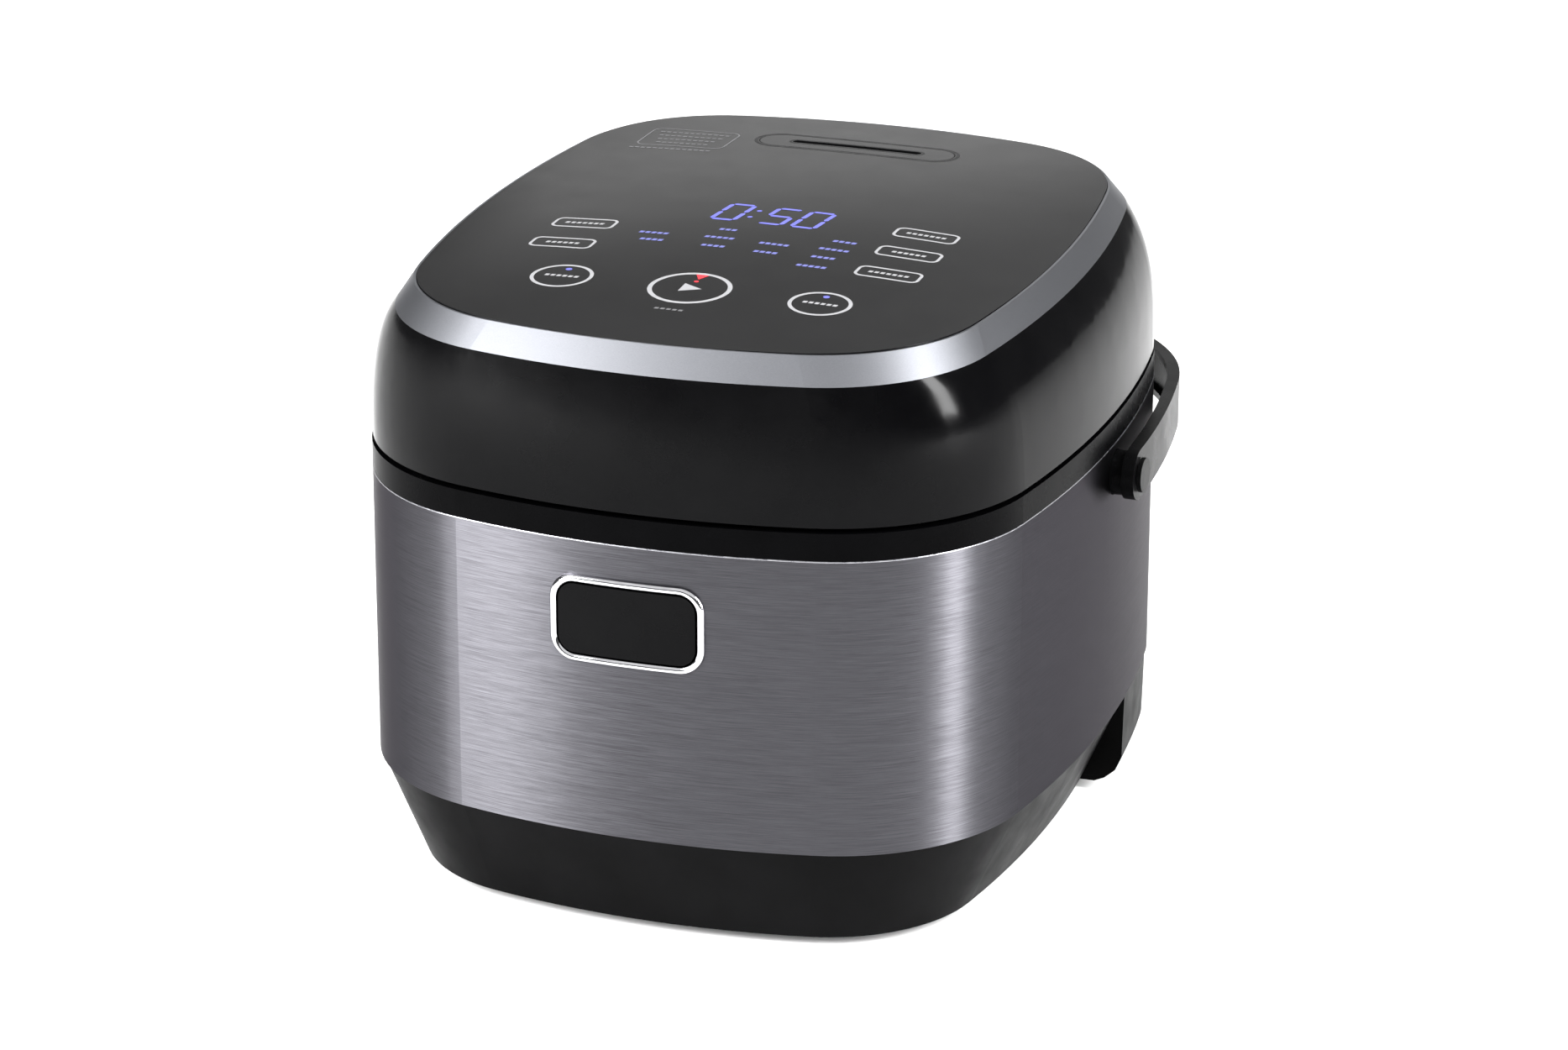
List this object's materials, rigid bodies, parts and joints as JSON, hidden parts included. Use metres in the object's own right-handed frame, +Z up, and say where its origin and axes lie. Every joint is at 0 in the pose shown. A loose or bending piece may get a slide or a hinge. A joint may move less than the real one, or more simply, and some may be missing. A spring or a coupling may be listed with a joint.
{
  "type": "rice cooker",
  "caption": "Countertop induction rice cooker with a hinged domed lid, touch panel, steam vent, front push button, removable pot and a folding carrying handle.",
  "frame": {"origin": "on the floor below the middle of the whole cooker with its handle folded back", "axes": "+Z up, -Y towards the front with the push button, +X to the user's right when facing the front"},
  "size_m": [0.3044, 0.352, 0.2478],
  "materials": {
    "black_plastic": "semi-matt moulded",
    "textured_plastic": "fine spark-eroded texture",
    "satin_plastic": "satin",
    "gloss_plastic": "smooth, soft gloss",
    "panel_black": "satin black with printed symbols",
    "handle_plastic": "satin moulded",
    "heatproof_plastic": "matt",
    "foot_rubber": "matt",
    "silicone": "translucent matt",
    "conductive_foam": "matt",
    "brushed_steel": "fine horizontal brushing, dark titanium tint",
    "screw_steel": "turned",
    "spring_steel": "drawn wire",
    "satin_silver": "satin silver",
    "bare_aluminium": "plain",
    "coated_aluminium": "dark non-stick coating inside",
    "chrome_plate": "mirror",
    "contact_brass": "plated",
    "copper_winding": "lacquered copper",
    "ferrite": "sintered",
    "circuit_board": "solder mask",
    "capacitor_sleeve": "shrink sleeve",
    "display_dark": "dark filter"
  },
  "bodies": {
    "housing": {"base_shell": "black_plastic", "bottom_cover": "black_plastic", "rubber_feet": "foot_rubber", "bottom_screws": "screw_steel", "steel_wrap": "brushed_steel", "rear_cover": "textured_plastic", "top_ring": "satin_plastic", "hinge_pins": "screw_steel", "lid_springs": "spring_steel", "inner_liner": "heatproof_plastic", "inner_pot": "coated_aluminium", "pot_cushions": "silicone", "induction_coil": "copper_winding", "coil_carrier": "heatproof_plastic", "ferrite_bars": "ferrite", "sensor_housing": "heatproof_plastic", "sensor_spring": "spring_steel", "fan_housing": "black_plastic", "power_board": "circuit_board", "board_posts": "heatproof_plastic", "heat_sink": "bare_aluminium", "capacitor": "capacitor_sleeve", "choke": "copper_winding", "inlet_socket": "black_plastic", "inlet_blades": "contact_brass", "button_bezel": "chrome_plate", "button_spring": "spring_steel", "latch_frame": "satin_plastic", "latch_pin": "screw_steel", "handle_mounts": "handle_plastic", "handle_caps": "handle_plastic"},
    "lid": {"lid_shell": "gloss_plastic", "lid_frame": "satin_plastic", "lid_screws": "screw_steel", "catch_bar": "screw_steel", "trim_ring": "satin_silver", "top_panel": "panel_black", "control_board": "circuit_board", "board_standoffs": "heatproof_plastic", "display_module": "display_dark", "touch_pads": "conductive_foam", "steam_duct": "heatproof_plastic", "inner_lid_plate": "bare_aluminium", "inner_lid_clips": "satin_plastic", "steam_valve": "silicone", "lid_gasket": "silicone"},
    "steam_cap": {"steam_cap": "panel_black"},
    "handle": {"handle_bail": "handle_plastic"},
    "button": {"front_button": "gloss_plastic"},
    "latch": {"latch_hook": "satin_plastic"},
    "sensor": {"sensor_cap": "bare_aluminium"},
    "fan": {"fan_impeller": "black_plastic"}
  },
  "joints": [
    {"name": "lid_hinge", "type": "hinge", "parent": "housing", "child": "lid", "pos_m": [0, 0.144, 0.181], "axis": [-1, 0, 0], "range_deg": [0, 85]},
    {"name": "handle_swing", "type": "hinge", "parent": "housing", "child": "handle", "pos_m": [0, 0.002, 0.151], "axis": [1, 0, 0], "range_deg": [0, 90]},
    {"name": "button_press", "type": "slide", "parent": "housing", "child": "button", "axis": [0, 1, 0], "range_m": [0, 0.003], "stiffness_N_per_m": 1500, "springref_m": -0.001},
    {"name": "latch_turn", "type": "hinge", "parent": "housing", "child": "latch", "pos_m": [0, -0.158, 0.152], "axis": [1, 0, 0], "range_deg": [0, 8.2]},
    {"name": "steam_cap_lift", "type": "slide", "parent": "lid", "child": "steam_cap", "axis": [0, 0, 1], "range_m": [0, 0.045]},
    {"name": "sensor_press", "type": "slide", "parent": "housing", "child": "sensor", "axis": [0, 0, -1], "range_m": [0, 0.002], "stiffness_N_per_m": 800, "springref_m": -0.001, "deforming": ["sensor_spring"]},
    {"name": "fan_spin", "type": "hinge", "parent": "housing", "child": "fan", "pos_m": [-0.048, 0.099, 0.014], "axis": [0, 0, 1], "continuous": true}
  ],
  "couplings": [
    {"joint": "latch_turn", "follows": "button_press", "rad_per_m": 46.542}
  ]
}
